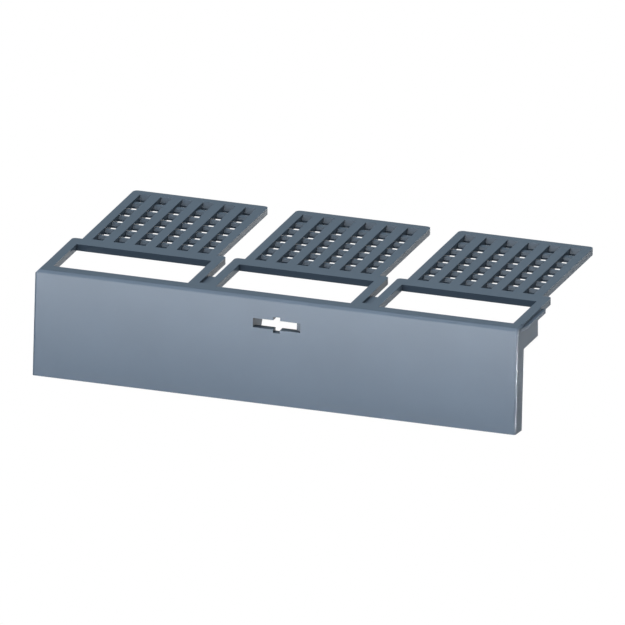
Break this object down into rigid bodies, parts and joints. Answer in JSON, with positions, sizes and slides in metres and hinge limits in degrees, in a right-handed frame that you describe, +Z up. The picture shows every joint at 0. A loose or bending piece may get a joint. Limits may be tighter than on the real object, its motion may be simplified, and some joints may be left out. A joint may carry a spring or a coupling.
{
  "type": "terminal cover",
  "caption": "Moulded breaker terminal cover: a flat shelf with open windows and bridged grille tongues, and a leaning front wall with a sealing slot.",
  "frame": {"origin": "on the underside of the shelf, in the middle of the cross bar behind the middle window, where the cover rests on the breaker", "axes": "+X along the front wall to the right, +Y to the back along the grille tongues, +Z up out of the shelf's top"},
  "size_m": [0.1048, 0.0524, 0.0226],
  "materials": {
    "cover_plastic": "slate blue-grey moulded plastic with a fine satin grain"
  },
  "bodies": {
    "root": {"terminal_cover": "cover_plastic"}
  },
  "joints": []
}
